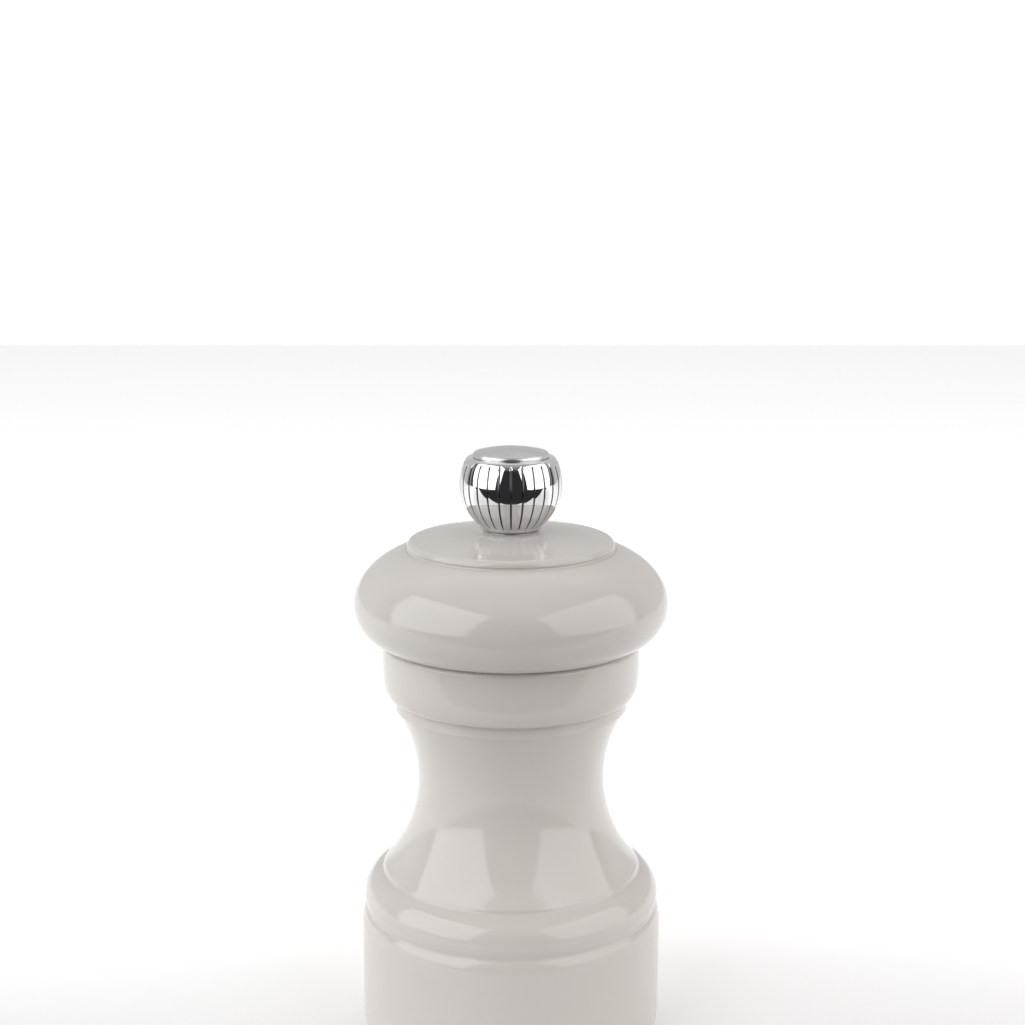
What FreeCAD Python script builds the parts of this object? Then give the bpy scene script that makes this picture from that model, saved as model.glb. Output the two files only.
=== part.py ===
# A small hand-turned pepper mill, 100 mm tall. A lacquered beech body holds the peppercorns and,
# in its foot, a steel grinding mechanism. A lacquered beech head turns on the body and drives a
# square shaft through a plate under its spigot. A fluted chrome knob screws onto the shaft's
# threaded end. Tightening it draws the shaft and the rotor up into the stator ring for a finer
# grind. A spring under the bridge pushes the rotor down again.
#
# Frame: +Z up along the turning axis, origin at the centre of the foot. Millimetres.

import math
import os

import FreeCAD, Part
from FreeCAD import Vector

# ---------------------------------------------------------------- driving dimensions
# Clearances
RUN = 0.06  # radial, a shaft or a thread turning in its hole
SLIDE = 0.06  # each side of the square shaft in a square hole
SPIGOT_PLAY = 0.2  # radial, the head's spigot in the body
TURN_GAP = 0.05  # between flat faces that rub
MOVE_GAP = 0.4  # between pieces that pass without touching
PLATE_PLAY = 0.15  # radial, a plate in its recess
CUT = 1.0  # how far a cutting shape runs past a face

# Body, inside
HOPPER_STEP = 2.2  # the hopper is this much narrower than the chamber under it
SOCKET_STEP = 4.2  # the socket for the head's spigot is this much wider than the hopper
SOCKET_DEPTH = 10.0
SOCKET_TAPER = 5.5  # height of the funnel under the socket
MOUTH_CHAMFER = 0.6
CHAMBER_WALL_GAP = 2.0  # from the stator to the wall of the chamber around it
LEDGE_WIDTH = 5.0  # wooden ledge that the mechanism is screwed to
RECESS_DEPTH = 9.0

# Body, outside
BODY_HEIGHT = 67.6
FOOT_WALL = 7.3
FOOT_ROUND = 2.0
FOOT_STRAIGHT = 18.2  # height of the straight part of the foot
RIM_HEIGHT = 3.0  # rounded rim above the straight part
RIM_INSET = 1.05
RIM_TURN = 70.5  # degrees of the rim's round, up to the groove over it
GROOVE_INSET = 0.83  # where the groove meets the bead, inside the foot's radius
GROOVE_RISE = 0.47  # and above the rim
GROOVE_HOLLOW = 0.1  # depth of the groove's curve
BEAD_HEIGHT = 6.5
BEAD_INSET = 0.5  # widest part of the bead, inside the foot's radius
BEAD_WIDEST = 0.31  # where it is widest, as a share of its height
BEAD_TOP_INSET = 3.4
STEP_HEIGHT = 1.0  # soft step between the bead and the waist, a hollow with a round over it
STEP_INSET = 0.64
STEP_HOLLOW = 0.073  # depth of the hollow's curve
STEP_ROUND = 0.037
STEP_TURN = (0.6, 0.46)  # where the hollow ends, as shares of the inset and the height
WAIST_WALL = 4.75
WAIST_PLACE = 0.55  # where the waist is narrowest, between the step and the lip
COLLAR_WALL = 6.25
COLLAR_HEIGHT = 9.2
COLLAR_ROUND_HEIGHT = 4.0  # rounded underside of the collar
COLLAR_ROUND_INSET = 1.45
COLLAR_EDGE = 0.7  # rounding of the collar's top edge
LIP_INSET = 1.95  # lip under the collar
LIP_HEIGHT = 2.0

# Head
HEAD_HEIGHT = 18.8  # from the head's foot to its crown
HEAD_OVERHANG = 4.65  # past the collar
HEAD_WIDEST = 0.34  # where it is widest, as a share of its height
HEAD_FOOT_OVERHANG = 0.45
HEAD_FOOT_EDGE = 0.2
SHOULDER_RISE = 10.0
SHOULDER_RUN = 14.8
RELIEF = 0.3  # undercut around the head's foot
RELIEF_WIDTH = 1.3
CROWN_INSET = 8.9  # raised disc on the head, inside the head's radius
CROWN_EDGE = 1.0
CROWN_DOME = 80.0
CROWN_GROOVE = 0.35
SPIGOT_LENGTH = 9.0
SPIGOT_CHAMFER = 0.8

# Shaft
SHAFT_SIDE = 5.0
SHAFT_CORNER = 0.5
SHAFT_CHAMFER = 0.8  # where the square is turned down to the stud
STUD_RADIUS = 2.45
THREAD_PITCH = 0.8
THREAD_DEPTH = 0.32
STUD_REACH = 7.9  # into the knob, above the crown
STUD_NECK = 6.4  # below the crown, down to the square
STUD_POINT = 0.6
SHAFT_END_RADIUS = 2.0  # carries the washer and the nut under the rotor
PIVOT_RADIUS = 1.5
PIVOT_LENGTH = 2.45
PIVOT_CHAMFER = 0.3
GRIND_TRAVEL = 1.2  # how far the knob draws the rotor up

# Knob
KNOB_WALL = 4.84  # around the insert, where it is widest
KNOB_FOOT_WALL = 1.6
KNOB_ROOF = 1.25  # over the room for the stud
KNOB_WIDEST = 0.625  # where it is widest, as a share of its height
KNOB_FOOT_ROUND = 0.7
KNOB_BAND = 0.9  # plain band over the flutes
KNOB_LIP = 0.25
KNOB_CROWNING = 0.22
FLUTES = 27
FLUTE_WIDTH = 0.62
FLUTE_DEPTH = 0.34
FLUTE_RUN_OUT = 1.5  # degrees of the outline, below the band
CAP_INSET = 2.2  # inside the knob's radius
CAP_RISE = 1.55
CAP_DOME = 0.75
CAP_EDGE = 0.5
CAP_UNDERCUT = 0.25
CAP_SPIGOT_INSET = 1.05
CAP_SPIGOT_DEPTH = 1.0
INSERT_WALL = 1.1
INSERT_SETBACK = 0.3
INSERT_GROOVE = 0.3
INSERT_CHAMFER = 0.3

# Ferrule in the crown, under the knob
FERRULE_WALL = 0.55
FERRULE_FLANGE = 1.0  # past its tube
FERRULE_THICKNESS = 0.4
FERRULE_LENGTH = 3.2
FERRULE_EDGE = 0.15

# Drive plate under the spigot
DRIVE_PLATE_INSET = 3.4
DRIVE_PLATE_THICKNESS = 1.2
DRIVE_SCREW_EDGE = 1.4  # from the screws' heads to the plate's edge

# Rotor and stator
ROTOR_HEIGHT = 9.4
ROTOR_FINE_HEIGHT = 4.1
ROTOR_RADIUS = 9.4
ROTOR_WAIST_INSET = 0.9  # taper over the fine teeth
ROTOR_STEP = 0.3
ROTOR_TOP_INSET = 3.1
GRIND_GAP = 0.55  # rotor to stator, with the knob slack
FINE_DEPTH = 0.45
ROTOR_FINE_TEETH = 28
STATOR_FINE_TEETH = 30
COARSE_DEPTH = 1.2
ROTOR_COARSE_TEETH = 7
STATOR_COARSE_TEETH = 8
FINE_TWIST = 24.0  # degrees over the height of the teeth
COARSE_TWIST = 40.0
STATOR_HEIGHT = 9.9
STATOR_WALL = 0.8
STATOR_MOUTH_PLAY = 0.1  # coarse teeth to the rotor, with the knob tight
STATOR_FLANGE = 0.7
STATOR_FLANGE_HEIGHT = 0.8
PLATE_THICKNESS = 1.2

# Small pieces on the shaft
NUT_HEIGHT = 1.4
NUT_ACROSS_FLATS = 7.0
NUT_BEVEL = 0.35
WASHER_THICKNESS = 0.5
ROTOR_WASHER_RADIUS = 4.9
CUP_THICKNESS = 0.6
SPRING_SEAT_MARGIN = 0.95  # of the washers, past the coils
SPRING_LENGTH = 7.6
SPRING_TURNS = 5.0
SPRING_WIRE = 0.45  # radius of the wire
SPRING_CLEARANCE = 1.0  # inside the coils, over the shaft's corners

# Bridge over the rotor
BUSH_FLANGE = 1.4
BUSH_FLANGE_THICKNESS = 0.6
BUSH_WALL = 1.0
BUSH_RISE = 1.0
BUSH_CHAMFER = 0.3
BRIDGE_WIDTH = 8.0
BRIDGE_BOSS = 1.5  # around the bush
BRIDGE_TAB = 4.0  # tabs staked into the plate
BRIDGE_THICKNESS = 1.0
BRIDGE_GAP = 0.4  # legs to the stator
BRIDGE_BEND = 1.0
CHAMBER_ROOM = 0.6  # over the bush

# Bar across the foot
BAR_WIDTH = 9.0
BAR_THICKNESS = 1.2
BAR_HEIGHT = 3.6  # of its upper face
BAR_SLOPE = 1.6  # length of each slope

# Screws
SCREW_SHANK = 1.3
SCREW_HEAD = 2.3
SCREW_LENGTH = 9.0
SMALL_SCREW_SHANK = 1.1
SMALL_SCREW_HEAD = 2.0
SMALL_SCREW_LENGTH = 7.0
SCREW_HEAD_EDGE = 0.15
SCREW_POINT = 0.22  # of the length
SCREW_THREAD_DEPTH = 0.18  # of the shank's radius
SCREW_THREAD_PITCH = 0.9  # of the shank's radius
SLOT_LENGTH = 1.15  # of the head's radius
SLOT_WIDTH = 0.24
SLOT_DEPTH = 0.75  # of the countersink

# ---------------------------------------------------------------- sizes worked out from these
DIAGONAL = math.sqrt(0.5)
SHAFT_HALF = SHAFT_SIDE / 2
SHAFT_SWEEP = SHAFT_HALF / DIAGONAL - SHAFT_CORNER * (1 / DIAGONAL - 1)  # circle of its corners
SHAFT_HOLE = SHAFT_SWEEP + MOVE_GAP

# Grinding mechanism, from the foot up
NUT_BOTTOM = BAR_HEIGHT + TURN_GAP
ROTOR_WASHER_BOTTOM = NUT_BOTTOM + NUT_HEIGHT
ROTOR_BOTTOM = ROTOR_WASHER_BOTTOM + WASHER_THICKNESS
ROTOR_SPLIT = ROTOR_BOTTOM + ROTOR_FINE_HEIGHT
ROTOR_TOP = ROTOR_BOTTOM + ROTOR_HEIGHT
STATOR_BOTTOM = ROTOR_BOTTOM
STATOR_TOP = STATOR_BOTTOM + STATOR_HEIGHT
SPRING_BOTTOM = ROTOR_TOP + CUP_THICKNESS
SPRING_TOP = SPRING_BOTTOM + SPRING_LENGTH
BUSH_BOTTOM = SPRING_TOP + WASHER_THICKNESS + TURN_GAP
BRIDGE_BOTTOM = BUSH_BOTTOM + BUSH_FLANGE_THICKNESS
BRIDGE_TOP = BRIDGE_BOTTOM + BRIDGE_THICKNESS
BUSH_TOP = BRIDGE_TOP + BUSH_RISE
CHAMBER_TOP = BUSH_TOP + CHAMBER_ROOM
PLATE_BOTTOM = RECESS_DEPTH - PLATE_THICKNESS
FLANGE_BOTTOM = PLATE_BOTTOM - STATOR_FLANGE_HEIGHT

ROTOR_WAIST = ROTOR_RADIUS - ROTOR_WAIST_INSET
STATOR_LOW_TIP = ROTOR_RADIUS + GRIND_GAP
STATOR_MID_TIP = ROTOR_WAIST + GRIND_GAP
STATOR_MOUTH = ROTOR_WAIST + ROTOR_WAIST_INSET * GRIND_TRAVEL / ROTOR_FINE_HEIGHT + STATOR_MOUTH_PLAY
STATOR_RADIUS = STATOR_LOW_TIP + FINE_DEPTH + STATOR_WALL
FLANGE_RADIUS = STATOR_RADIUS + STATOR_FLANGE
CHAMBER_RADIUS = STATOR_RADIUS + CHAMBER_WALL_GAP
RECESS_RADIUS = CHAMBER_RADIUS + LEDGE_WIDTH
SCREW_CIRCLE = RECESS_RADIUS - SCREW_HEAD - MOVE_GAP
BASE_RADIUS = RECESS_RADIUS + FOOT_WALL
BUSH_BORE = SHAFT_SWEEP + RUN
BUSH_RADIUS = BUSH_BORE + BUSH_WALL
SPRING_MEAN_RADIUS = SHAFT_SWEEP + SPRING_CLEARANCE + SPRING_WIRE
SPRING_SEAT_RADIUS = SPRING_MEAN_RADIUS + SPRING_WIRE + SPRING_SEAT_MARGIN
LEG_INSIDE = STATOR_RADIUS + BRIDGE_GAP
LEG_OUTSIDE = LEG_INSIDE + BRIDGE_THICKNESS

# Body, head and knob
HOPPER_RADIUS = CHAMBER_RADIUS - HOPPER_STEP
SOCKET_RADIUS = HOPPER_RADIUS + SOCKET_STEP
WAIST_RADIUS = HOPPER_RADIUS + WAIST_WALL
COLLAR_RADIUS = SOCKET_RADIUS + COLLAR_WALL
SOCKET_BOTTOM = BODY_HEIGHT - SOCKET_DEPTH
HEAD_FOOT = BODY_HEIGHT + TURN_GAP
HEAD_RADIUS = COLLAR_RADIUS + HEAD_OVERHANG
CROWN_RADIUS = HEAD_RADIUS - CROWN_INSET
CROWN_TOP = HEAD_FOOT + HEAD_HEIGHT
SPIGOT_BOTTOM = HEAD_FOOT - SPIGOT_LENGTH
SPIGOT_RADIUS = SOCKET_RADIUS - SPIGOT_PLAY
DRIVE_PLATE_RADIUS = SPIGOT_RADIUS - DRIVE_PLATE_INSET
DRIVE_SCREW_CIRCLE = DRIVE_PLATE_RADIUS - SMALL_SCREW_HEAD - DRIVE_SCREW_EDGE
SQUARE_TOP = CROWN_TOP - STUD_NECK
STUD_TOP = CROWN_TOP + STUD_REACH
STUD_ROOM_TOP = STUD_TOP + GRIND_TRAVEL + MOVE_GAP
FERRULE_BORE = STUD_RADIUS + MOVE_GAP
FERRULE_TUBE = FERRULE_BORE + FERRULE_WALL
FERRULE_RIM = FERRULE_TUBE + FERRULE_FLANGE
KNOB_FOOT = CROWN_TOP
CAP_SEAT = STUD_ROOM_TOP + KNOB_ROOF
CAP_UNDERSIDE = CAP_SEAT + CAP_SPIGOT_DEPTH
KNOB_LEDGE = CAP_UNDERSIDE + KNOB_LIP
INSERT_BORE = STUD_RADIUS + RUN
INSERT_RADIUS = INSERT_BORE + INSERT_WALL
KNOB_RADIUS = INSERT_RADIUS + KNOB_WALL
CAP_RADIUS = KNOB_RADIUS - CAP_INSET
CAP_SPIGOT_RADIUS = CAP_RADIUS - CAP_SPIGOT_INSET
INSERT_BOTTOM = KNOB_FOOT + INSERT_SETBACK
INSERT_TOP = STUD_TOP + GRIND_TRAVEL - INSERT_SETBACK

AXIS = Vector(0, 0, 1)
ORIGIN = Vector(0, 0, 0)


# ---------------------------------------------------------------- outlines and simple solids
def line(a, b):
    """A straight edge of an outline. Outlines are (radius, height) points beside the axis."""
    return Part.LineSegment(Vector(a[0], 0, a[1]), Vector(b[0], 0, b[1])).toShape()


def arc(a, through, b):
    points = [Vector(p[0], 0, p[1]) for p in (a, through, b)]
    return Part.Arc(*points).toShape()


def lines(points):
    return [line(a, b) for a, b in zip(points, points[1:])]


def arc_from_upright(start, end):
    """An arc that leaves `start` upright and ends at `end`."""
    inward = start[0] - end[0]
    rise = end[1] - start[1]
    radius = (inward**2 + rise**2) / (2 * inward)
    half_angle = math.atan2(abs(rise), abs(radius) - abs(inward)) / 2
    through = (
        start[0] - radius * (1 - math.cos(half_angle)),
        start[1] + math.copysign(abs(radius) * math.sin(half_angle), rise),
    )
    return arc(start, through, end)


def bowed(start, end, bow):
    """An arc whose middle stands off the chord by `bow`, to the right of its way."""
    run, rise = end[0] - start[0], end[1] - start[1]
    share = bow / math.hypot(run, rise)
    through = ((start[0] + end[0]) / 2 + rise * share, (start[1] + end[1]) / 2 - run * share)
    return arc(start, through, end)


def rounded_edge(upright, level):
    """A quarter round from the end of an upright side to the end of a level one."""
    through = (
        level[0] + (upright[0] - level[0]) * DIAGONAL,
        upright[1] + (level[1] - upright[1]) * DIAGONAL,
    )
    return arc(upright, through, level)


def oval_point(centre, run, rise, degrees):
    angle = math.radians(degrees)
    return (centre[0] + run * math.cos(angle), centre[1] + rise * math.sin(angle))


def oval(centre, run, rise, start, end):
    """Part of an ellipse, from one angle to another in degrees."""
    steps = 8
    curve = Part.BSplineCurve()
    points = [oval_point(centre, run, rise, start + (end - start) * i / steps) for i in range(steps + 1)]
    curve.interpolate([Vector(r, 0, z) for r, z in points])
    return curve.toShape()


def turned(edges):
    """A solid turned about the axis from a closed outline."""
    wire = Part.Wire(Part.__sortEdges__(edges))
    return Part.Face(wire).revolve(ORIGIN, AXIS, 360)


def turned_points(points):
    return turned(lines(points + points[:1]))


def tube(outer, inner, low, high):
    return turned_points([(inner, low), (outer, low), (outer, high), (inner, high)])


def rod(radius, low, high, x=0, y=0):
    return Part.makeCylinder(radius, high - low, Vector(x, y, low))


def square_bar(side, low, high):
    return Part.makeBox(side, side, high - low, Vector(-side / 2, -side / 2, low))


def slab(points, thickness, normal):
    """A flat outline given by its corners, thickened by half to each side."""
    start = [p - normal * (thickness / 2) for p in points]
    return Part.Face(Part.makePolygon(start + start[:1])).extrude(normal * thickness)


def around(shape, count, start=0.0):
    """Copies of a shape, evenly spaced about the axis."""
    copies = []
    for i in range(count):
        copy = shape.copy()
        copy.rotate(ORIGIN, AXIS, start + 360.0 * i / count)
        copies.append(copy)
    return copies


def moved(shape, x, y):
    copy = shape.copy()
    copy.translate(Vector(x, y, 0))
    return copy


def cut_all(shape, cutters):
    return shape.cut(Part.makeCompound(cutters))


def save(name, shape):
    """Writes one node. A node of several equal pieces keeps them as separate solids."""
    solids = shape.Solids
    if not solids or not shape.isValid():
        raise ValueError(name + " isn't a valid solid")
    shape = solids[0] if len(solids) == 1 else Part.makeCompound(solids)
    shape.exportStep("parts/" + name + ".step")
    print("%-20s %2d %10.1f mm3" % (name, len(solids), shape.Volume))


# ---------------------------------------------------------------- body
def body_outside():
    """From the foot's outer edge up to the top of the collar."""
    foot_end = (BASE_RADIUS, FOOT_STRAIGHT)
    rim_centre = (BASE_RADIUS - RIM_INSET, FOOT_STRAIGHT)
    rim_end = oval_point(rim_centre, RIM_INSET, RIM_HEIGHT, RIM_TURN)
    bead_foot = FOOT_STRAIGHT + RIM_HEIGHT
    groove_end = (BASE_RADIUS - GROOVE_INSET, bead_foot + GROOVE_RISE)
    bead_wide = (BASE_RADIUS - BEAD_INSET, bead_foot + BEAD_HEIGHT * BEAD_WIDEST)
    bead_top = (BASE_RADIUS - BEAD_TOP_INSET, bead_foot + BEAD_HEIGHT)
    step_turn = (bead_top[0] - STEP_INSET * STEP_TURN[0], bead_top[1] + STEP_HEIGHT * STEP_TURN[1])
    step_top = (bead_top[0] - STEP_INSET, bead_top[1] + STEP_HEIGHT)
    collar_foot = BODY_HEIGHT - COLLAR_HEIGHT
    lip_low = (COLLAR_RADIUS - LIP_INSET, collar_foot - LIP_HEIGHT)
    lip_high = (lip_low[0], collar_foot)
    waist = (WAIST_RADIUS, step_top[1] + (lip_low[1] - step_top[1]) * WAIST_PLACE)
    round_centre = (COLLAR_RADIUS - COLLAR_ROUND_INSET, collar_foot + COLLAR_ROUND_HEIGHT)
    collar_side = (COLLAR_RADIUS, BODY_HEIGHT - COLLAR_EDGE)
    return [
        rounded_edge((BASE_RADIUS, FOOT_ROUND), (BASE_RADIUS - FOOT_ROUND, 0)),
        line((BASE_RADIUS, FOOT_ROUND), foot_end),
        oval(rim_centre, RIM_INSET, RIM_HEIGHT, 0, RIM_TURN),
        bowed(rim_end, groove_end, -GROOVE_HOLLOW),
        arc(groove_end, bead_wide, bead_top),
        bowed(bead_top, step_turn, -STEP_HOLLOW),
        bowed(step_turn, step_top, STEP_ROUND),
        arc_from_upright(waist, step_top),
        arc_from_upright(waist, lip_low),
        line(lip_low, lip_high),
        line(lip_high, (round_centre[0], collar_foot)),
        oval(round_centre, COLLAR_ROUND_INSET, COLLAR_ROUND_HEIGHT, -90, 0),
        line((COLLAR_RADIUS, round_centre[1]), collar_side),
        rounded_edge(collar_side, (COLLAR_RADIUS - COLLAR_EDGE, BODY_HEIGHT)),
    ]


def body_inside():
    """From the collar's top through the hopper and the chamber to the foot."""
    return lines(
        [
            (COLLAR_RADIUS - COLLAR_EDGE, BODY_HEIGHT),
            (SOCKET_RADIUS + MOUTH_CHAMFER, BODY_HEIGHT),
            (SOCKET_RADIUS, BODY_HEIGHT - MOUTH_CHAMFER),
            (SOCKET_RADIUS, SOCKET_BOTTOM),
            (HOPPER_RADIUS, SOCKET_BOTTOM - SOCKET_TAPER),
            (HOPPER_RADIUS, CHAMBER_TOP),
            (CHAMBER_RADIUS, CHAMBER_TOP),
            (CHAMBER_RADIUS, RECESS_DEPTH),
            (RECESS_RADIUS, RECESS_DEPTH),
            (RECESS_RADIUS, 0),
            (BASE_RADIUS - FOOT_ROUND, 0),
        ]
    )


def mill_body():
    pilots = [
        rod(SCREW_SHANK, RECESS_DEPTH - CUT, RECESS_DEPTH + SCREW_LENGTH, x, y)
        for x, y in bar_screw_places() + plate_screw_places()
    ]
    return cut_all(turned(body_outside() + body_inside()), pilots)


# ---------------------------------------------------------------- head
def head_outside():
    """From the head's foot to the middle of its crown."""
    widest = (HEAD_RADIUS, HEAD_FOOT + HEAD_HEIGHT * HEAD_WIDEST)
    foot = (COLLAR_RADIUS + HEAD_FOOT_OVERHANG, HEAD_FOOT + RELIEF)
    foot_edge = (foot[0] + HEAD_FOOT_EDGE, foot[1] + HEAD_FOOT_EDGE / 2)
    edge_radius = CROWN_RADIUS - CROWN_EDGE

    def crown_height(radius):
        return CROWN_TOP - CROWN_DOME + math.sqrt(CROWN_DOME**2 - radius**2)

    crown_edge = (edge_radius, crown_height(edge_radius))
    crown_side = (CROWN_RADIUS, crown_edge[1] - CROWN_EDGE)
    oval_centre = (HEAD_RADIUS - SHOULDER_RUN, widest[1])
    shoulder_angle = math.degrees(
        math.acos((CROWN_RADIUS + CROWN_GROOVE - oval_centre[0]) / SHOULDER_RUN)
    )
    shoulder_top = oval_point(oval_centre, SHOULDER_RUN, SHOULDER_RISE, shoulder_angle)
    groove = (CROWN_RADIUS - CROWN_GROOVE, (shoulder_top[1] + crown_side[1]) / 2)
    return [
        line(foot, foot_edge),
        arc_from_upright(widest, foot_edge),
        oval(oval_centre, SHOULDER_RUN, SHOULDER_RISE, 0, shoulder_angle),
        arc(shoulder_top, groove, crown_side),
        rounded_edge(crown_side, crown_edge),
        arc(crown_edge, (edge_radius / 2, crown_height(edge_radius / 2)), (0, CROWN_TOP)),
    ]


def head_inside():
    relief_start = COLLAR_RADIUS - RELIEF_WIDTH
    return lines(
        [
            (0, CROWN_TOP),
            (0, SPIGOT_BOTTOM),
            (SPIGOT_RADIUS - SPIGOT_CHAMFER, SPIGOT_BOTTOM),
            (SPIGOT_RADIUS, SPIGOT_BOTTOM + SPIGOT_CHAMFER),
            (SPIGOT_RADIUS, HEAD_FOOT),
            (relief_start, HEAD_FOOT),
            (relief_start + RELIEF, HEAD_FOOT + RELIEF),
            (COLLAR_RADIUS + HEAD_FOOT_OVERHANG, HEAD_FOOT + RELIEF),
        ]
    )


def mill_head():
    plate_top = SPIGOT_BOTTOM + DRIVE_PLATE_THICKNESS
    cutters = [
        rod(SHAFT_HOLE, SPIGOT_BOTTOM - CUT, SQUARE_TOP + GRIND_TRAVEL + MOVE_GAP),
        rod(FERRULE_TUBE, SQUARE_TOP, CROWN_TOP + CUT),
        rod(FERRULE_RIM, CROWN_TOP - FERRULE_THICKNESS, CROWN_TOP + CUT),
        rod(DRIVE_PLATE_RADIUS + PLATE_PLAY, SPIGOT_BOTTOM - CUT, plate_top),
    ]
    for x, y in drive_screw_places():
        cutters.append(rod(SMALL_SCREW_SHANK, SPIGOT_BOTTOM, SPIGOT_BOTTOM + SMALL_SCREW_LENGTH, x, y))
    return cut_all(turned(head_outside() + head_inside()), cutters)


def head_ferrule():
    """Steel eyelet that keeps the knob from wearing the wood."""
    top = CROWN_TOP - TURN_GAP
    shelf = CROWN_TOP - FERRULE_THICKNESS
    return turned_points(
        [
            (FERRULE_BORE, CROWN_TOP - FERRULE_LENGTH),
            (FERRULE_TUBE, CROWN_TOP - FERRULE_LENGTH),
            (FERRULE_TUBE, shelf),
            (FERRULE_RIM, shelf),
            (FERRULE_RIM, top - FERRULE_EDGE),
            (FERRULE_RIM - FERRULE_EDGE, top),
            (FERRULE_BORE + FERRULE_EDGE, top),
            (FERRULE_BORE, top - FERRULE_EDGE),
        ]
    )


def head_drive_plate():
    """Plate with a square hole, which carries the shaft round with the head."""
    top = SPIGOT_BOTTOM + DRIVE_PLATE_THICKNESS
    cutters = [square_bar(SHAFT_SIDE + 2 * SLIDE, SPIGOT_BOTTOM - CUT, top + CUT)]
    for x, y in drive_screw_places():
        cutters.append(sunk_hole(x, y, SPIGOT_BOTTOM, SMALL_SCREW_SHANK, SMALL_SCREW_HEAD))
    return cut_all(rod(DRIVE_PLATE_RADIUS, SPIGOT_BOTTOM, top), cutters)


# ---------------------------------------------------------------- screws
def bar_screw_places():
    return [(SCREW_CIRCLE, 0), (-SCREW_CIRCLE, 0)]


def plate_screw_places():
    return [(0, SCREW_CIRCLE), (0, -SCREW_CIRCLE)]


def drive_screw_places():
    return [(DRIVE_SCREW_CIRCLE, 0), (-DRIVE_SCREW_CIRCLE, 0)]


def wood_screw(shank, head, length, face):
    """A countersunk screw pointing up, with the top of its head at height `face`."""
    neck = face + SCREW_HEAD_EDGE + head - shank
    point = face + length * (1 - SCREW_POINT)
    root = shank * (1 - SCREW_THREAD_DEPTH)
    pitch = shank * SCREW_THREAD_PITCH
    turns = int((point - neck) / pitch)
    points = [(0, face), (head, face), (head, face + SCREW_HEAD_EDGE), (shank, neck)]
    for i in range(turns):
        crest = point - (turns - i) * pitch
        points.append((shank, crest + pitch * 0.1))
        points.append((root, crest + pitch / 2))
    points.append((shank, point))
    points.append((0, face + length))
    slots = []
    for turn in (0, 90):
        slot = Part.makeBox(
            2 * head * SLOT_WIDTH,
            2 * head * SLOT_LENGTH / 2,
            (head - shank) * SLOT_DEPTH,
            Vector(-head * SLOT_WIDTH, -head * SLOT_LENGTH / 2, face),
        )
        slot.rotate(ORIGIN, AXIS, turn)
        slots.append(slot)
    return turned_points(points).cut(slots[0].fuse(slots[1]))


def sunk_hole(x, y, face, shank, head):
    """A countersunk hole through a plate, opening downwards at height `face`."""
    mouth_top = face + SCREW_HEAD_EDGE
    cone = Part.makeCone(head, shank, head - shank, Vector(x, y, mouth_top))
    mouth = rod(head, face - CUT, mouth_top, x, y)
    return cone.fuse([mouth, rod(shank, face, face + PLATE_THICKNESS + CUT, x, y)])


def screws(places, shank, head, length, face):
    screw = wood_screw(shank, head, length, face)
    return Part.makeCompound([moved(screw, x, y) for x, y in places])


# ---------------------------------------------------------------- knob
def knob_outline():
    """Centre and radius of the knob's round side, its lower end and its upper end."""
    height = KNOB_LEDGE - KNOB_FOOT
    middle = KNOB_FOOT + height * KNOB_WIDEST
    foot = (INSERT_RADIUS + KNOB_FOOT_WALL, KNOB_FOOT + KNOB_FOOT_ROUND)
    inward = KNOB_RADIUS - foot[0]
    radius = (inward**2 + (middle - foot[1]) ** 2) / (2 * inward)
    centre = (KNOB_RADIUS - radius, middle)
    band = KNOB_LEDGE - KNOB_BAND
    shoulder = (centre[0] + math.sqrt(radius**2 - (band - middle) ** 2), band)
    return centre, radius, foot, shoulder


def knob_ball():
    centre, radius, foot, shoulder = knob_outline()
    ledge = (CAP_RADIUS + KNOB_LIP, KNOB_LEDGE)
    band_mid = (
        (shoulder[0] + ledge[0]) / 2 + KNOB_CROWNING,
        (shoulder[1] + ledge[1]) / 2 + KNOB_CROWNING,
    )
    seat = CAP_RADIUS - KNOB_LIP
    foot_edge = (foot[0] - KNOB_FOOT_ROUND, KNOB_FOOT)
    floor = lines([ledge, (seat, CAP_UNDERSIDE), (0, CAP_UNDERSIDE), (0, KNOB_FOOT), foot_edge])
    sides = [
        rounded_edge(foot, foot_edge),
        arc(foot, (KNOB_RADIUS, centre[1]), shoulder),
        arc(shoulder, band_mid, ledge),
    ]
    return turned(sides + floor)


def flute_cutter():
    """A V-shaped ring that follows the knob's outline in the plane through its axis."""
    centre, radius, foot, shoulder = knob_outline()
    deep = centre[0] + radius - FLUTE_DEPTH
    shallow = centre[0] + radius + FLUTE_DEPTH
    section = [
        Vector(deep, 0, centre[1]),
        Vector(shallow, -FLUTE_WIDTH, centre[1]),
        Vector(shallow, FLUTE_WIDTH, centre[1]),
    ]
    pivot = Vector(centre[0], 0, centre[1])
    below = math.degrees(math.atan2(centre[1] - foot[1], foot[0] - centre[0])) + FLUTE_RUN_OUT
    above = math.degrees(math.atan2(shoulder[1] - centre[1], shoulder[0] - centre[0])) - FLUTE_RUN_OUT
    start = Part.Face(Part.makePolygon(section + section[:1]))
    start.rotate(pivot, Vector(0, 1, 0), below)
    return start.revolve(pivot, Vector(0, -1, 0), below + above)


def adjusting_knob():
    cutters = around(flute_cutter(), FLUTES, -90.0)
    cutters.append(rod(INSERT_RADIUS, KNOB_FOOT - CUT, INSERT_TOP))
    cutters.append(rod(FERRULE_BORE, KNOB_FOOT, STUD_ROOM_TOP))
    cutters.append(rod(CAP_SPIGOT_RADIUS, CAP_SEAT, KNOB_LEDGE + CUT))
    return cut_all(knob_ball(), cutters)


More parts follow.
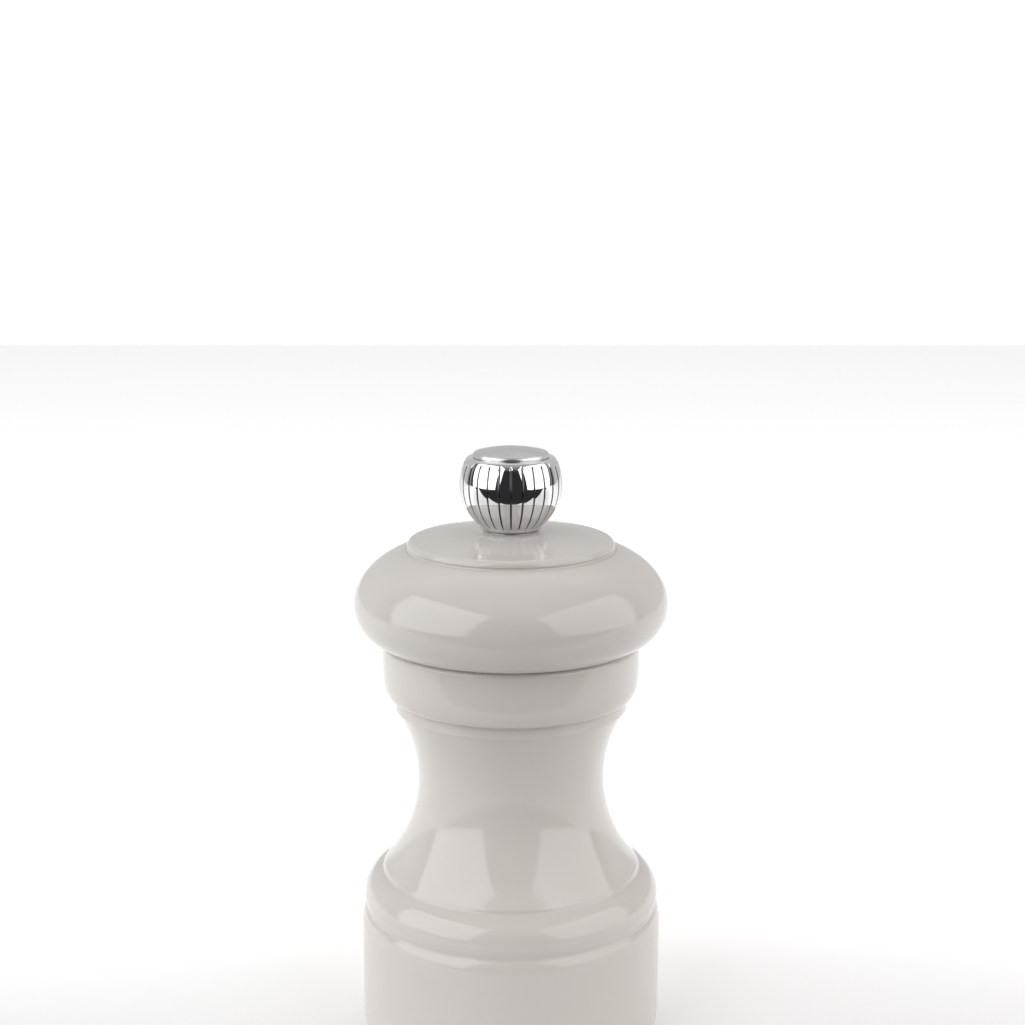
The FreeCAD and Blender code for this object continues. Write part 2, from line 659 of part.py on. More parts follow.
def knob_insert():
    """Brass bush with the knob's thread, grooved outside where it is gripped."""
    points = [(INSERT_BORE + INSERT_CHAMFER, INSERT_BOTTOM), (INSERT_RADIUS, INSERT_BOTTOM)]
    for share in (1 / 3, 2 / 3):
        middle = INSERT_BOTTOM + (INSERT_TOP - INSERT_BOTTOM) * share
        points.append((INSERT_RADIUS, middle - 2 * INSERT_GROOVE))
        points.append((INSERT_RADIUS - INSERT_GROOVE, middle - INSERT_GROOVE))
        points.append((INSERT_RADIUS - INSERT_GROOVE, middle + INSERT_GROOVE))
        points.append((INSERT_RADIUS, middle + 2 * INSERT_GROOVE))
    points.append((INSERT_RADIUS, INSERT_TOP))
    points.append((INSERT_BORE, INSERT_TOP))
    points.append((INSERT_BORE, INSERT_BOTTOM + INSERT_CHAMFER))
    return turned_points(points)


def knob_cap():
    """Domed disc pressed into the top of the knob."""
    top = KNOB_LEDGE + CAP_RISE
    dome_start = (CAP_RADIUS - CAP_EDGE, top - CAP_DOME)
    side_top = (CAP_RADIUS, dome_start[1] - CAP_EDGE)
    dome_radius = (dome_start[0] ** 2 + CAP_DOME**2) / (2 * CAP_DOME)
    half = dome_start[0] / 2
    dome_mid = (half, top - dome_radius + math.sqrt(dome_radius**2 - half**2))
    outline = lines(
        [
            (0, top),
            (0, CAP_SEAT),
            (CAP_SPIGOT_RADIUS, CAP_SEAT),
            (CAP_SPIGOT_RADIUS, CAP_UNDERSIDE),
            (CAP_RADIUS - CAP_UNDERCUT, CAP_UNDERSIDE),
            (CAP_RADIUS - CAP_UNDERCUT, KNOB_LEDGE),
            (CAP_RADIUS, KNOB_LEDGE + CAP_UNDERCUT / 2),
            side_top,
        ]
    )
    return turned(outline + [rounded_edge(side_top, dome_start), arc(dome_start, dome_mid, (0, top))])


# ---------------------------------------------------------------- shaft
def shaft_square():
    bar = square_bar(SHAFT_SIDE, ROTOR_BOTTOM, SQUARE_TOP)
    upright = [e for e in bar.Edges if e.BoundBox.ZLength > SHAFT_SIDE]
    bar = bar.makeFillet(SHAFT_CORNER, upright)
    turned_down = turned_points(
        [
            (0, ROTOR_BOTTOM),
            (SHAFT_SIDE, ROTOR_BOTTOM),
            (SHAFT_SIDE, SQUARE_TOP - SHAFT_CHAMFER - (SHAFT_SIDE - SHAFT_SWEEP)),
            (SHAFT_SWEEP - SHAFT_CHAMFER, SQUARE_TOP),
            (0, SQUARE_TOP),
        ]
    )
    return bar.common(turned_down)


def shaft_stud():
    """Threaded end for the knob. Its thread is a row of rings."""
    root = STUD_RADIUS - THREAD_DEPTH
    first = SQUARE_TOP + THREAD_PITCH
    turns = int((STUD_TOP - STUD_POINT - first) / THREAD_PITCH)
    points = [(0, SQUARE_TOP - CUT), (root, SQUARE_TOP - CUT), (root, SQUARE_TOP), (STUD_RADIUS, first)]
    for i in range(turns):
        points.append((root, first + THREAD_PITCH * (i + 0.5)))
        points.append((STUD_RADIUS, first + THREAD_PITCH * (i + 1)))
    points.append((STUD_RADIUS - STUD_POINT, STUD_TOP))
    points.append((0, STUD_TOP))
    return turned_points(points)


def shaft_foot():
    """Round end for the washer and the nut, with a pivot under it."""
    pivot_bottom = NUT_BOTTOM - PIVOT_LENGTH
    return turned_points(
        [
            (0, pivot_bottom),
            (PIVOT_RADIUS - PIVOT_CHAMFER, pivot_bottom),
            (PIVOT_RADIUS, pivot_bottom + PIVOT_CHAMFER),
            (PIVOT_RADIUS, NUT_BOTTOM),
            (SHAFT_END_RADIUS, NUT_BOTTOM),
            (SHAFT_END_RADIUS, ROTOR_BOTTOM + CUT),
            (0, ROTOR_BOTTOM + CUT),
        ]
    )


def drive_shaft():
    return shaft_square().fuse([shaft_stud(), shaft_foot()]).removeSplitter()


def square_washer(outer, low, thickness):
    """A washer with a square hole, so it turns with the shaft."""
    hole = square_bar(SHAFT_SIDE + 2 * SLIDE, low - CUT, low + thickness + CUT)
    return rod(outer, low, low + thickness).cut(hole)


def shaft_nut():
    corner = NUT_ACROSS_FLATS / math.sqrt(3)
    points = []
    for i in range(6):
        angle = math.radians(60 * i)
        points.append(Vector(corner * math.cos(angle), corner * math.sin(angle), NUT_BOTTOM))
    nut = Part.Face(Part.makePolygon(points + points[:1])).extrude(AXIS * NUT_HEIGHT)
    bevel = turned_points(
        [
            (SHAFT_END_RADIUS, NUT_BOTTOM),
            (corner - NUT_BEVEL, NUT_BOTTOM),
            (corner, NUT_BOTTOM + NUT_BEVEL),
            (corner, NUT_BOTTOM + NUT_HEIGHT),
            (SHAFT_END_RADIUS, NUT_BOTTOM + NUT_HEIGHT),
        ]
    )
    return nut.common(bevel)


def pressure_spring():
    """Compression spring that pushes the rotor down."""
    rise = SPRING_LENGTH - 2 * SPRING_WIRE - 2 * TURN_GAP
    coil = Part.makeHelix(rise / SPRING_TURNS, rise, SPRING_MEAN_RADIUS)
    coil.translate(Vector(0, 0, SPRING_BOTTOM + TURN_GAP + SPRING_WIRE))
    edge = coil.Edges[0]
    start = edge.valueAt(edge.FirstParameter)
    section = Part.Wire(Part.makeCircle(SPRING_WIRE, start, edge.tangentAt(edge.FirstParameter)))
    return Part.Wire(coil).makePipeShell([section], True, True)


# ---------------------------------------------------------------- rotor and stator
def tooth_ring(teeth, tip, root, turn, height):
    """A closed saw-toothed outline about the axis."""
    points = []
    pitch = 360.0 / teeth
    land, foot, back = 0.22, 0.4, 0.9
    middle = tip + (root - tip) * 0.55
    for i in range(teeth):
        for share, radius in ((0, tip), (land, tip), (foot, root), (back, middle)):
            angle = math.radians(turn + pitch * (i + share))
            points.append(Vector(radius * math.cos(angle), radius * math.sin(angle), height))
    return Part.makePolygon(points + points[:1])


def toothed(teeth, depth, low, high, low_tip, high_tip, twist):
    """A tapered solid with slanting teeth. A negative depth cuts them into a ring instead."""
    steps = 3
    rings = []
    for i in range(steps + 1):
        tip = low_tip + (high_tip - low_tip) * i / steps
        rings.append(tooth_ring(teeth, tip, tip - depth, twist * i / steps, low + (high - low) * i / steps))
    return Part.makeLoft(rings, True, True)


def rotor():
    fine = toothed(
        ROTOR_FINE_TEETH, FINE_DEPTH, ROTOR_BOTTOM, ROTOR_SPLIT, ROTOR_RADIUS, ROTOR_WAIST, FINE_TWIST
    )
    coarse = toothed(
        ROTOR_COARSE_TEETH,
        COARSE_DEPTH,
        ROTOR_SPLIT,
        ROTOR_TOP,
        ROTOR_WAIST - ROTOR_STEP,
        ROTOR_RADIUS - ROTOR_TOP_INSET,
        -COARSE_TWIST,
    )
    hole = square_bar(SHAFT_SIDE + 2 * SLIDE, ROTOR_BOTTOM - CUT, ROTOR_TOP + CUT)
    return fine.fuse(coarse).cut(hole)


def stator_ring():
    blank = turned_points(
        [
            (0, STATOR_BOTTOM),
            (STATOR_RADIUS, STATOR_BOTTOM),
            (STATOR_RADIUS, FLANGE_BOTTOM),
            (FLANGE_RADIUS, FLANGE_BOTTOM),
            (FLANGE_RADIUS, PLATE_BOTTOM),
            (STATOR_RADIUS, PLATE_BOTTOM),
            (STATOR_RADIUS, STATOR_TOP),
            (0, STATOR_TOP),
        ]
    )
    split = STATOR_BOTTOM + ROTOR_FINE_HEIGHT
    fine = toothed(
        STATOR_FINE_TEETH, -FINE_DEPTH, STATOR_BOTTOM, split, STATOR_LOW_TIP, STATOR_MID_TIP, FINE_TWIST
    )
    coarse = toothed(
        STATOR_COARSE_TEETH, -COARSE_DEPTH, split, STATOR_TOP, STATOR_MOUTH, STATOR_MOUTH, COARSE_TWIST
    )
    return blank.cut(fine).cut(coarse)


# ---------------------------------------------------------------- plate, bridge and bar
def tab_slots():
    """Upright slots of the plate, which the bridge's tabs fill."""
    slots = []
    for side in (1, -1):
        y = LEG_INSIDE if side > 0 else -LEG_OUTSIDE
        corner = Vector(-BRIDGE_TAB / 2, y, PLATE_BOTTOM)
        slots.append(Part.makeBox(BRIDGE_TAB, BRIDGE_THICKNESS, PLATE_THICKNESS, corner))
    return slots


def stator_plate():
    plate = tube(RECESS_RADIUS - PLATE_PLAY, STATOR_RADIUS, PLATE_BOTTOM, RECESS_DEPTH)
    cutters = tab_slots()
    for x, y in bar_screw_places():
        cutters.append(rod(SCREW_SHANK, PLATE_BOTTOM - CUT, RECESS_DEPTH + CUT, x, y))
    for x, y in plate_screw_places():
        cutters.append(sunk_hole(x, y, PLATE_BOTTOM, SCREW_SHANK, SCREW_HEAD))
    return cut_all(plate, cutters)


def shaft_bridge():
    """Bent strip over the rotor, with a round boss for the bush."""
    bend = BRIDGE_BEND
    outline = [
        (-LEG_OUTSIDE, RECESS_DEPTH),
        (-LEG_INSIDE, RECESS_DEPTH),
        (-LEG_INSIDE, BRIDGE_BOTTOM - bend / 2),
        (-LEG_INSIDE + bend / 2, BRIDGE_BOTTOM),
        (LEG_INSIDE - bend / 2, BRIDGE_BOTTOM),
        (LEG_INSIDE, BRIDGE_BOTTOM - bend / 2),
        (LEG_INSIDE, RECESS_DEPTH),
        (LEG_OUTSIDE, RECESS_DEPTH),
        (LEG_OUTSIDE, BRIDGE_TOP - bend),
        (LEG_OUTSIDE - bend, BRIDGE_TOP),
        (-LEG_OUTSIDE + bend, BRIDGE_TOP),
        (-LEG_OUTSIDE, BRIDGE_TOP - bend),
    ]
    strip = slab([Vector(0, y, z) for y, z in outline], BRIDGE_WIDTH, Vector(1, 0, 0))
    strip = strip.common(rod(CHAMBER_RADIUS - PLATE_PLAY, RECESS_DEPTH, BRIDGE_TOP))
    boss = rod(BUSH_RADIUS + BRIDGE_BOSS, BRIDGE_BOTTOM, BRIDGE_TOP)
    bridge = strip.fuse([boss] + tab_slots()).removeSplitter()
    return bridge.cut(rod(BUSH_RADIUS, BRIDGE_BOTTOM - CUT, BRIDGE_TOP + CUT))


def bridge_bush():
    """Flanged bush that guides the shaft and takes the thrust of the spring."""
    return turned_points(
        [
            (BUSH_BORE, BUSH_BOTTOM),
            (BUSH_RADIUS + BUSH_FLANGE, BUSH_BOTTOM),
            (BUSH_RADIUS + BUSH_FLANGE, BRIDGE_BOTTOM),
            (BUSH_RADIUS, BRIDGE_BOTTOM),
            (BUSH_RADIUS, BUSH_TOP - BUSH_CHAMFER),
            (BUSH_RADIUS - BUSH_CHAMFER, BUSH_TOP),
            (BUSH_BORE, BUSH_TOP),
        ]
    )


def retaining_bar():
    """Bent strip across the foot, which holds the shaft's pivot."""
    foot_top = PLATE_BOTTOM
    foot_low = PLATE_BOTTOM - BAR_THICKNESS
    low = BAR_HEIGHT - BAR_THICKNESS
    end = RECESS_RADIUS - PLATE_PLAY
    outer_bend = FLANGE_RADIUS + MOVE_GAP
    inner_bend = outer_bend - BAR_SLOPE
    slope = math.atan2(foot_top - BAR_HEIGHT, BAR_SLOPE)
    mitre = BAR_THICKNESS * math.tan(slope / 2)
    upper = [
        (-end, foot_top),
        (-outer_bend, foot_top),
        (-inner_bend, BAR_HEIGHT),
        (inner_bend, BAR_HEIGHT),
        (outer_bend, foot_top),
        (end, foot_top),
    ]
    lower = [
        (end, foot_low),
        (outer_bend + mitre, foot_low),
        (inner_bend + mitre, low),
        (-inner_bend - mitre, low),
        (-outer_bend - mitre, foot_low),
        (-end, foot_low),
    ]
    strip = slab([Vector(x, 0, z) for x, z in upper + lower], BAR_WIDTH, Vector(0, 1, 0))
    strip = strip.common(rod(end, low - CUT, foot_top + CUT))
    cutters = [rod(PIVOT_RADIUS + RUN, low - CUT, BAR_HEIGHT + CUT)]
    for x, y in bar_screw_places():
        cutters.append(sunk_hole(x, y, foot_low, SCREW_SHANK, SCREW_HEAD))
    return cut_all(strip, cutters)


# ---------------------------------------------------------------- build
def build():
    os.makedirs("parts", exist_ok=True)
    bar_foot = PLATE_BOTTOM - BAR_THICKNESS
    save("mill_body", mill_body())
    save("mill_head", mill_head())
    save("head_ferrule", head_ferrule())
    save("head_drive_plate", head_drive_plate())
    save(
        "head_plate_screws",
        screws(
            drive_screw_places(), SMALL_SCREW_SHANK, SMALL_SCREW_HEAD, SMALL_SCREW_LENGTH, SPIGOT_BOTTOM
        ),
    )
    save("adjusting_knob", adjusting_knob())
    save("knob_insert", knob_insert())
    save("knob_cap", knob_cap())
    save("drive_shaft", drive_shaft())
    save("rotor", rotor())
    save(
        "rotor_washer",
        tube(ROTOR_WASHER_RADIUS, SHAFT_END_RADIUS, ROTOR_WASHER_BOTTOM, ROTOR_BOTTOM),
    )
    save("shaft_nut", shaft_nut())
    save("spring_cup", square_washer(SPRING_SEAT_RADIUS, ROTOR_TOP, CUP_THICKNESS))
    save("pressure_spring", pressure_spring())
    save("spring_washer", square_washer(SPRING_SEAT_RADIUS, SPRING_TOP, WASHER_THICKNESS))
    save("stator_ring", stator_ring())
    save("stator_plate", stator_plate())
    save("plate_screws", screws(plate_screw_places(), SCREW_SHANK, SCREW_HEAD, SCREW_LENGTH, PLATE_BOTTOM))
    save("shaft_bridge", shaft_bridge())
    save("bridge_bush", bridge_bush())
    save("retaining_bar", retaining_bar())
    save("bar_screws", screws(bar_screw_places(), SCREW_SHANK, SCREW_HEAD, SCREW_LENGTH, bar_foot))


build()
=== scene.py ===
import math

import bmesh
import bpy
from mathutils import Matrix, Vector


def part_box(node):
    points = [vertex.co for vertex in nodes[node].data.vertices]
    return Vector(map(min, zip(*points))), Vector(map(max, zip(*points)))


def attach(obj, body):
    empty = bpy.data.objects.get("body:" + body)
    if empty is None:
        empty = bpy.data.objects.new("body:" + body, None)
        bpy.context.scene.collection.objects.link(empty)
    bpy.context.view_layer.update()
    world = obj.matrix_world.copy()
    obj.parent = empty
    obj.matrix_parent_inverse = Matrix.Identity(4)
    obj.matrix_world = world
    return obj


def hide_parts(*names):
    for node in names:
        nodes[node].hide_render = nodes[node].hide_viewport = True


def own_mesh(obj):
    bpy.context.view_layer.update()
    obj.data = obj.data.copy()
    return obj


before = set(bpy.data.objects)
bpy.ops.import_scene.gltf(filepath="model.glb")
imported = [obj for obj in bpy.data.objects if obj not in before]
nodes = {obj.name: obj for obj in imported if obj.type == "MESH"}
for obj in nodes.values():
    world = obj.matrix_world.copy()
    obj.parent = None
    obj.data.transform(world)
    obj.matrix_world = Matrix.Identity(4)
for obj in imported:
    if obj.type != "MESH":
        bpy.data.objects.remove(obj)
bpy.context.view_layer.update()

mm = 0.001
print("frame loaded,", len(nodes), "nodes")


# ---- drawing an outline in the plane y = 0 and turning it, sizes in millimetres

def startAt(bm, r, z):
    return bm.verts.new((r * mm, 0, z * mm))


def runTo(bm, vert, r, z):  # straight stretch
    end = bmesh.ops.extrude_vert_indiv(bm, verts=[vert])["verts"][0]
    end.co = (r * mm, 0, z * mm)
    return end


def spinPoint(bm, vert, centre, angle, steps):
    out = bmesh.ops.spin(bm, geom=[vert], cent=centre, axis=(0, 1, 0), angle=angle, steps=steps,
                         use_merge=False, use_duplicate=False)
    return [g for g in out["geom_last"] if isinstance(g, bmesh.types.BMVert)][0]


def swellTo(bm, vert, r, z, swell, steps=10):  # round stretch, bulging to the right of its way
    start, end = vert.co.copy(), Vector((r * mm, 0, z * mm))
    chord = end - start
    half = chord.length / 2
    bulge = abs(swell) * mm
    radius = (half * half + bulge * bulge) / (2 * bulge)
    side = Vector((chord.z, 0, -chord.x)).normalized() * math.copysign(1, swell)
    centre = (start + end) / 2 - side * (radius - bulge)
    angle = 2 * math.atan2(half, radius - bulge)
    last = spinPoint(bm, vert, centre, -math.copysign(angle, swell), steps)
    last.co = end
    return last


def ovalTo(bm, vert, centreR, centreZ, run, rise, degrees, steps=10):  # stretch of an oval, anticlockwise
    centre = Vector((centreR * mm, 0, centreZ * mm))
    toCircle = Matrix.Translation(-centre)
    bmesh.ops.scale(bm, vec=(1, 1, run / rise), space=toCircle, verts=[vert])
    bm.verts.index_update()
    before = set(bm.verts)
    last = spinPoint(bm, vert, centre, -math.radians(degrees), steps)
    made = [v for v in bm.verts if v not in before] + [vert]
    bmesh.ops.scale(bm, vec=(1, 1, rise / run), space=toCircle, verts=made)
    return last


def quarterTo(bm, vert, r, z, steps=6):  # quarter round from an upright side to a level one, or back
    dr, dz = r - vert.co.x / mm, z - vert.co.z / mm
    swell = math.hypot(dr, dz) * (math.sqrt(2) - 1) / 2
    return swellTo(bm, vert, r, z, swell, steps)


def closeLoop(bm, first, last):
    bm.edges.new((last, first))


def turnRound(bm, steps):
    bmesh.ops.spin(bm, geom=bm.verts[:] + bm.edges[:], cent=(0, 0, 0), axis=(0, 0, 1),
                   angle=math.tau, steps=steps, use_merge=True, use_duplicate=False)
    bmesh.ops.remove_doubles(bm, verts=bm.verts, dist=0.0005 * mm)
    bmesh.ops.recalc_face_normals(bm, faces=bm.faces)


def finishPiece(bm, name, body, finishes, standsFor, sharpest=32):
    for face in bm.faces:
        face.smooth = True
    for edge in bm.edges:
        edge.smooth = len(edge.link_faces) == 2 and edge.calc_face_angle(0) < math.radians(sharpest)
    mesh = bpy.data.meshes.new(name)
    bm.to_mesh(mesh)
    bm.free()
    piece = bpy.data.objects.new(name, mesh)
    bpy.context.scene.collection.objects.link(piece)
    for finish in finishes:
        mesh.materials.append(finish)
    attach(piece, body)
    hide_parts(*standsFor)
    print("made", name, len(mesh.polygons), "faces")
    return piece


# ---- finishes

def newFinish(name):
    finish = bpy.data.materials.new(name)
    finish.use_nodes = True
    tree = finish.node_tree
    shader = tree.nodes["Principled BSDF"]
    place = tree.nodes.new("ShaderNodeTexCoord").outputs["Object"]
    return finish, tree, shader, place


def cloud(tree, place, size, detail=3.0, stretch=(1, 1, 1)):  # soft noise, size in millimetres
    mapping = tree.nodes.new("ShaderNodeMapping")
    mapping.inputs["Scale"].default_value = stretch
    noise = tree.nodes.new("ShaderNodeTexNoise")
    noise.inputs["Scale"].default_value = 1 / (size * mm)
    noise.inputs["Detail"].default_value = detail
    tree.links.new(place, mapping.inputs["Vector"])
    tree.links.new(mapping.outputs["Vector"], noise.inputs["Vector"])
    return noise.outputs["Fac"]


def spread(tree, value, low, high):  # noise to a range
    ranged = tree.nodes.new("ShaderNodeMapRange")
    ranged.inputs["From Min"].default_value = 0.3
    ranged.inputs["From Max"].default_value = 0.7
    ranged.inputs["To Min"].default_value = low
    ranged.inputs["To Max"].default_value = high
    tree.links.new(value, ranged.inputs["Value"])
    return ranged.outputs["Result"]


def tinted(tree, value, colourA, colourB):
    mix = tree.nodes.new("ShaderNodeMix")
    mix.data_type = "RGBA"
    mix.inputs["A"].default_value = (*colourA, 1)
    mix.inputs["B"].default_value = (*colourB, 1)
    tree.links.new(value, mix.inputs["Factor"])
    return mix.outputs["Result"]


def bumped(tree, shader, height, strength, distance, socket="Normal"):
    bump = tree.nodes.new("ShaderNodeBump")
    bump.inputs["Strength"].default_value = strength
    bump.inputs["Distance"].default_value = distance * mm
    tree.links.new(height, bump.inputs["Height"])
    tree.links.new(bump.outputs["Normal"], shader.inputs[socket])
    return bump


def lacquerFinish():
    look = dict(light=(0.596, 0.565, 0.533), dark=(0.582, 0.551, 0.519), patch=14, roughLow=0.09,
                roughHigh=0.13, peel=0.9, peelStrength=0.05, peelDepth=0.02)
    finish, tree, shader, place = newFinish("paleLacquer")
    patches = spread(tree, cloud(tree, place, look["patch"], 2), 0, 1)
    tree.links.new(tinted(tree, patches, look["light"], look["dark"]), shader.inputs["Base Color"])
    rough = spread(tree, cloud(tree, place, look["patch"] / 3), look["roughLow"], look["roughHigh"])
    tree.links.new(rough, shader.inputs["Roughness"])
    bumped(tree, shader, cloud(tree, place, look["peel"], 2), look["peelStrength"], look["peelDepth"])
    shader.inputs["IOR"].default_value = 1.5
    return finish


def beechFinish():
    look = dict(pale=(0.62, 0.44, 0.28), dark=(0.44, 0.28, 0.16), grain=0.9, fleck=0.5)
    finish, tree, shader, place = newFinish("bareBeech")
    grain = spread(tree, cloud(tree, place, look["grain"], 4, (1, 1, 0.08)), 0, 1)
    tree.links.new(tinted(tree, grain, look["pale"], look["dark"]), shader.inputs["Base Color"])
    tree.links.new(spread(tree, grain, 0.55, 0.7), shader.inputs["Roughness"])
    bumped(tree, shader, cloud(tree, place, look["fleck"], 3, (1, 1, 0.1)), 0.3, 0.05)
    return finish


def metalFinish(name, light, dark, patch, roughLow, roughHigh, grain, grainStretch, bumpStrength, bumpDepth):
    finish, tree, shader, place = newFinish(name)
    shader.inputs["Metallic"].default_value = 1.0
    patches = spread(tree, cloud(tree, place, patch, 3), 0, 1)
    tree.links.new(tinted(tree, patches, light, dark), shader.inputs["Base Color"])
    rough = spread(tree, cloud(tree, place, grain * 2, 3, grainStretch), roughLow, roughHigh)
    tree.links.new(rough, shader.inputs["Roughness"])
    bumped(tree, shader, cloud(tree, place, grain, 2, grainStretch), bumpStrength, bumpDepth)
    return finish


def satinFinish():
    look = dict(light=(0.71, 0.71, 0.71), dark=(0.63, 0.63, 0.635), rings=11, roughLow=0.30, roughHigh=0.38)
    finish, tree, shader, place = newFinish("satinDisc")
    shader.inputs["Metallic"].default_value = 1.0
    wave = tree.nodes.new("ShaderNodeTexWave")
    wave.wave_type = "RINGS"
    wave.rings_direction = "Z"
    wave.inputs["Scale"].default_value = look["rings"] / mm / 10
    wave.inputs["Distortion"].default_value = 0.6
    wave.inputs["Detail"].default_value = 2
    tree.links.new(place, wave.inputs["Vector"])
    patches = spread(tree, cloud(tree, place, 2.5, 3), 0, 1)
    tree.links.new(tinted(tree, patches, look["light"], look["dark"]), shader.inputs["Base Color"])
    rough = spread(tree, wave.outputs["Fac"], look["roughLow"], look["roughHigh"])
    tree.links.new(rough, shader.inputs["Roughness"])
    bumped(tree, shader, wave.outputs["Fac"], 0.06, 0.01)
    return finish


paleLacquer = lacquerFinish()
bareBeech = beechFinish()
satinDisc = satinFinish()
knobChrome = metalFinish("knobChrome", (0.80, 0.80, 0.81), (0.74, 0.74, 0.75),
                         4, 0.035, 0.08, 0.9, (1, 1, 1), 0.05, 0.02)
# painted shade: a darker chrome for the knob's groove faces, standing in for the shade down in the grooves
paintedGrooveShade = metalFinish("paintedGrooveShade", (0.34, 0.34, 0.35), (0.28, 0.28, 0.29),
                           4, 0.15, 0.25, 0.9, (1, 1, 1), 0.05, 0.02)
turnedBrass = metalFinish("turnedBrass", (0.80, 0.60, 0.28), (0.66, 0.47, 0.20),
                          3, 0.22, 0.34, 0.3, (1, 1, 8), 0.1, 0.01)
platedSteel = metalFinish("platedSteel", (0.62, 0.63, 0.65), (0.50, 0.51, 0.53),
                          5, 0.24, 0.36, 0.4, (1, 6, 1), 0.1, 0.01)
screwZinc = metalFinish("screwZinc", (0.66, 0.66, 0.64), (0.52, 0.52, 0.50),
                        2, 0.22, 0.34, 0.3, (1, 1, 1), 0.1, 0.01)
toothSteel = metalFinish("toothSteel", (0.22, 0.22, 0.23), (0.12, 0.12, 0.13),
                         3, 0.32, 0.48, 0.4, (1, 1, 1), 0.2, 0.02)
drawnSteel = metalFinish("drawnSteel", (0.64, 0.64, 0.66), (0.52, 0.52, 0.54),
                         6, 0.16, 0.28, 0.35, (4, 4, 0.1), 0.12, 0.01)
springWire = metalFinish("springWire", (0.42, 0.42, 0.44), (0.30, 0.30, 0.32),
                         2, 0.22, 0.34, 0.2, (1, 1, 1), 0.1, 0.01)


def acetalFinish():
    finish, tree, shader, place = newFinish("whiteAcetal")
    shade = spread(tree, cloud(tree, place, 3), 0, 1)
    tree.links.new(tinted(tree, shade, (0.80, 0.80, 0.76), (0.74, 0.74, 0.70)), shader.inputs["Base Color"])
    tree.links.new(spread(tree, shade, 0.35, 0.5), shader.inputs["Roughness"])
    bumped(tree, shader, cloud(tree, place, 0.4), 0.1, 0.01)
    return finish


whiteAcetal = acetalFinish()
print("finishes made")


# ---- the body, turned in one piece, bare wood inside

def makeBody():
    low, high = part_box("mill_body")
    size = dict(foot=25.5, footRound=2.0, straight=18.2, rimRun=1.05, rimRise=3.0, rimTurn=70.5,
                groove=(0.83, 0.47, -0.1), beadRise=6.5, beadTop=3.4, beadSwell=1.3557,
                hollow=(0.384, 0.46, -0.073), round=(0.64, 1.0, 0.037), waist=15.75, waistAt=43.935,
                lipIn=1.95, lipDrop=2.0, collar=21.45,
                collarDrop=9.2, collarRun=1.45, collarRise=4.0, collarEdge=0.7, recess=18.2, recessDeep=9.0,
                chamber=13.2, chamberTop=26.9, hopper=11.0, funnel=52.1, socket=15.2, socketDeep=10.0,
                mouth=0.6, mouthSlack=0.3, wallSlack=2.5, slack=0.1, turns=240)
    top = high[2] / mm
    foot, collar = size["foot"], size["collar"]
    bm = bmesh.new()
    first = v = startAt(bm, foot - size["footRound"], 0)
    v = quarterTo(bm, v, foot, size["footRound"], 8)
    v = runTo(bm, v, foot, size["straight"])
    rimIn = foot - size["rimRun"]
    v = ovalTo(bm, v, rimIn, size["straight"], size["rimRun"], size["rimRise"], size["rimTurn"], 12)
    beadFoot = size["straight"] + size["rimRise"]
    inward, up, swell = size["groove"]  # soft groove between rim and bead
    v = swellTo(bm, v, foot - inward, beadFoot + up, swell, 8)
    beadZ = beadFoot + size["beadRise"]
    beadR = foot - size["beadTop"]
    v = swellTo(bm, v, beadR, beadZ, size["beadSwell"], 20)
    for inward, up, swell in (size["hollow"], size["round"]):  # soft step over the bead
        v = swellTo(bm, v, beadR - inward, beadZ + up, swell, 6)
    waistIn = waistCurve(bm, v, size["waist"], size["waistAt"], 26)
    lipR, lipZ = collar - size["lipIn"], top - size["collarDrop"] - size["lipDrop"]
    v = waistCurve(bm, waistIn, lipR, lipZ, 24)
    v = runTo(bm, v, lipR, top - size["collarDrop"])
    roundR, roundZ = collar - size["collarRun"], top - size["collarDrop"] + size["collarRise"]
    v = runTo(bm, v, roundR, top - size["collarDrop"])
    v = ovalTo(bm, v, roundR, roundZ, size["collarRun"], size["collarRise"], 90, 10)
    v = runTo(bm, v, collar, top - size["collarEdge"])
    v = quarterTo(bm, v, collar - size["collarEdge"], top)
    socket = size["socket"]
    for r, z in ((socket + size["mouth"], top), (socket, top - size["mouth"]),
                 (socket, top - size["socketDeep"]),
                 (size["hopper"], size["funnel"]), (size["hopper"], size["chamberTop"]),
                 (size["chamber"], size["chamberTop"]), (size["chamber"], size["recessDeep"]),
                 (size["recess"], size["recessDeep"]), (size["recess"], 0)):
        v = runTo(bm, v, r, z)
    closeLoop(bm, first, v)
    turnRound(bm, size["turns"])
    for face in bm.faces:
        middle = face.calc_center_median() / mm
        r = math.hypot(middle.x, middle.y)
        inSocket = r < socket + size["mouthSlack"] and middle.z > size["funnel"]
        inHopper = r < size["hopper"] + size["wallSlack"] and middle.z < top - size["socketDeep"]
        inHopper = inHopper and r < size["chamber"] + size["slack"]
        inRecess = r < size["recess"] + size["slack"] / 2 and middle.z < size["recessDeep"] + size["slack"]
        face.material_index = 1 if inSocket or inHopper or inRecess else 0
    return finishPiece(bm, "turnedBody", "body", [paleLacquer, bareBeech], ["mill_body"])


def waistCurve(bm, vert, r, z, steps):  # hollow stretch, upright at its waist end
    dr, dz = abs(r - vert.co.x / mm), z - vert.co.z / mm
    radius = (dr * dr + dz * dz) / (2 * dr)
    half = math.atan2(dz, radius - dr) / 2
    return swellTo(bm, vert, r, z, -radius * (1 - math.cos(half)), steps)


# ---- the head, with its bare spigot

